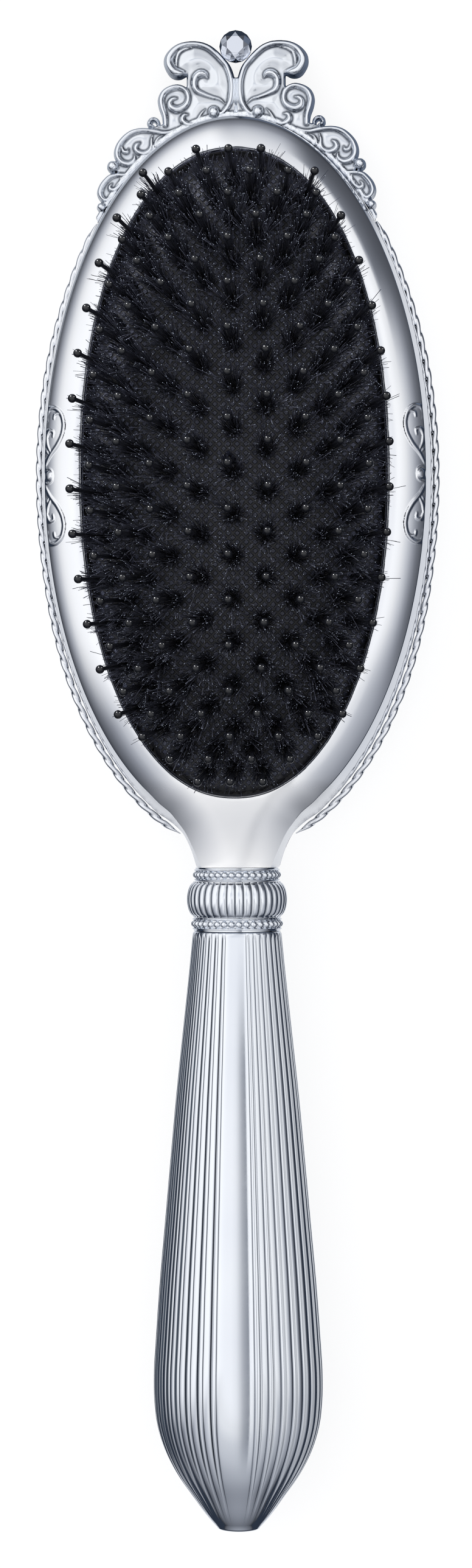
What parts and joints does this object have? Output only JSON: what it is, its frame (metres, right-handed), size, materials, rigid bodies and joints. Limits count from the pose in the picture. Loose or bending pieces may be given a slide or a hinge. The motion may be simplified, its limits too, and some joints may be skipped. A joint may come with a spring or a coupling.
{
  "type": "vanity hairbrush",
  "caption": "Oval cushion hairbrush with a chrome bezel, rope-trimmed edge, scrolled crown with a faceted gem, beaded collar and reeded handle; the bristle bed presses in and its rows flex.",
  "frame": {"origin": "centre of the bounding box in X and Y, on the flat face of the back plaque that the brush lies on", "axes": "+X across the head, +Y from the handle's tip to the crown, +Z out of the bristles"},
  "size_m": [0.0648, 0.24, 0.0355],
  "materials": {
    "chrome_plate": "bright mirror plating with a cool tint and faint fine polish marks",
    "cut_crystal": "foil-backed faceted stone, mirror bright",
    "rubber": "black cushion rubber with a raised diamond lattice",
    "nylon": "glossy black moulded nylon",
    "inner_plastic": "plain dark moulding",
    "steel": "plain bright steel"
  },
  "bodies": {
    "root": {"back_shell": "chrome_plate", "back_plaque": "chrome_plate", "front_bezel": "chrome_plate", "rope_trim_left": "chrome_plate", "rope_trim_right": "chrome_plate", "crown_plate": "chrome_plate", "crown_gem": "cut_crystal", "chamber_tray": "inner_plastic", "cushion_retainer": "inner_plastic", "tray_screw_1": "steel", "tray_screw_2": "steel", "tray_screw_3": "steel", "tray_screw_4": "steel", "neck_tang": "steel", "tang_pin": "steel", "collar_upper_bead_ring": "chrome_plate", "collar_fluted_ring": "chrome_plate", "collar_lower_bead_ring": "chrome_plate", "handle_front_shell": "chrome_plate", "handle_back_shell": "chrome_plate"},
    "cushion": {"cushion_pad": "rubber"},
    "row_01": {"quill_row_01": "nylon"},
    "row_02": {"quill_row_02": "nylon"},
    "row_03": {"quill_row_03": "nylon"},
    "row_04": {"quill_row_04": "nylon"},
    "row_05": {"quill_row_05": "nylon"},
    "row_06": {"quill_row_06": "nylon"},
    "row_07": {"quill_row_07": "nylon"},
    "row_08": {"quill_row_08": "nylon"},
    "row_09": {"quill_row_09": "nylon"},
    "row_10": {"quill_row_10": "nylon"},
    "row_11": {"quill_row_11": "nylon"},
    "row_12": {"quill_row_12": "nylon"},
    "row_13": {"quill_row_13": "nylon"},
    "row_14": {"quill_row_14": "nylon"},
    "row_15": {"quill_row_15": "nylon"}
  },
  "joints": [
    {"name": "cushion_press", "type": "slide", "parent": "root", "child": "cushion", "axis": [0, 0, -1], "range_m": [0, 0.003], "stiffness_N_per_m": 1500, "deforming": ["cushion_pad"]},
    {"name": "row_01_flex", "type": "hinge", "parent": "cushion", "child": "row_01", "pos_m": [0, 0.00317, 0.01406], "axis": [1, 0, 0], "range_deg": [-6, 6], "stiffness_Nm_per_rad": 0.01},
    {"name": "row_02_flex", "type": "hinge", "parent": "cushion", "child": "row_02", "pos_m": [0, 0.00987, 0.01481], "axis": [1, 0, 0], "range_deg": [-6, 6], "stiffness_Nm_per_rad": 0.01},
    {"name": "row_03_flex", "type": "hinge", "parent": "cushion", "child": "row_03", "pos_m": [0, 0.01657, 0.01548], "axis": [1, 0, 0], "range_deg": [-6, 6], "stiffness_Nm_per_rad": 0.01},
    {"name": "row_04_flex", "type": "hinge", "parent": "cushion", "child": "row_04", "pos_m": [0, 0.02327, 0.01596], "axis": [1, 0, 0], "range_deg": [-6, 6], "stiffness_Nm_per_rad": 0.01},
    {"name": "row_05_flex", "type": "hinge", "parent": "cushion", "child": "row_05", "pos_m": [0, 0.02997, 0.01628], "axis": [1, 0, 0], "range_deg": [-6, 6], "stiffness_Nm_per_rad": 0.01},
    {"name": "row_06_flex", "type": "hinge", "parent": "cushion", "child": "row_06", "pos_m": [0, 0.03667, 0.01648], "axis": [1, 0, 0], "range_deg": [-6, 6], "stiffness_Nm_per_rad": 0.01},
    {"name": "row_07_flex", "type": "hinge", "parent": "cushion", "child": "row_07", "pos_m": [0, 0.04337, 0.01658], "axis": [1, 0, 0], "range_deg": [-6, 6], "stiffness_Nm_per_rad": 0.01},
    {"name": "row_08_flex", "type": "hinge", "parent": "cushion", "child": "row_08", "pos_m": [0, 0.05008, 0.0166], "axis": [1, 0, 0], "range_deg": [-6, 6], "stiffness_Nm_per_rad": 0.01},
    {"name": "row_09_flex", "type": "hinge", "parent": "cushion", "child": "row_09", "pos_m": [0, 0.05678, 0.01657], "axis": [1, 0, 0], "range_deg": [-6, 6], "stiffness_Nm_per_rad": 0.01},
    {"name": "row_10_flex", "type": "hinge", "parent": "cushion", "child": "row_10", "pos_m": [0, 0.06348, 0.01645], "axis": [1, 0, 0], "range_deg": [-6, 6], "stiffness_Nm_per_rad": 0.01},
    {"name": "row_11_flex", "type": "hinge", "parent": "cushion", "child": "row_11", "pos_m": [0, 0.07018, 0.01618], "axis": [1, 0, 0], "range_deg": [-6, 6], "stiffness_Nm_per_rad": 0.01},
    {"name": "row_12_flex", "type": "hinge", "parent": "cushion", "child": "row_12", "pos_m": [0, 0.07687, 0.01576], "axis": [1, 0, 0], "range_deg": [-6, 6], "stiffness_Nm_per_rad": 0.01},
    {"name": "row_13_flex", "type": "hinge", "parent": "cushion", "child": "row_13", "pos_m": [0, 0.08357, 0.01514], "axis": [1, 0, 0], "range_deg": [-6, 6], "stiffness_Nm_per_rad": 0.01},
    {"name": "row_14_flex", "type": "hinge", "parent": "cushion", "child": "row_14", "pos_m": [0, 0.09028, 0.01431], "axis": [1, 0, 0], "range_deg": [-6, 6], "stiffness_Nm_per_rad": 0.01},
    {"name": "row_15_flex", "type": "hinge", "parent": "cushion", "child": "row_15", "pos_m": [0, 0.0953, 0.01369], "axis": [1, 0, 0], "range_deg": [-6, 6], "stiffness_Nm_per_rad": 0.01}
  ]
}
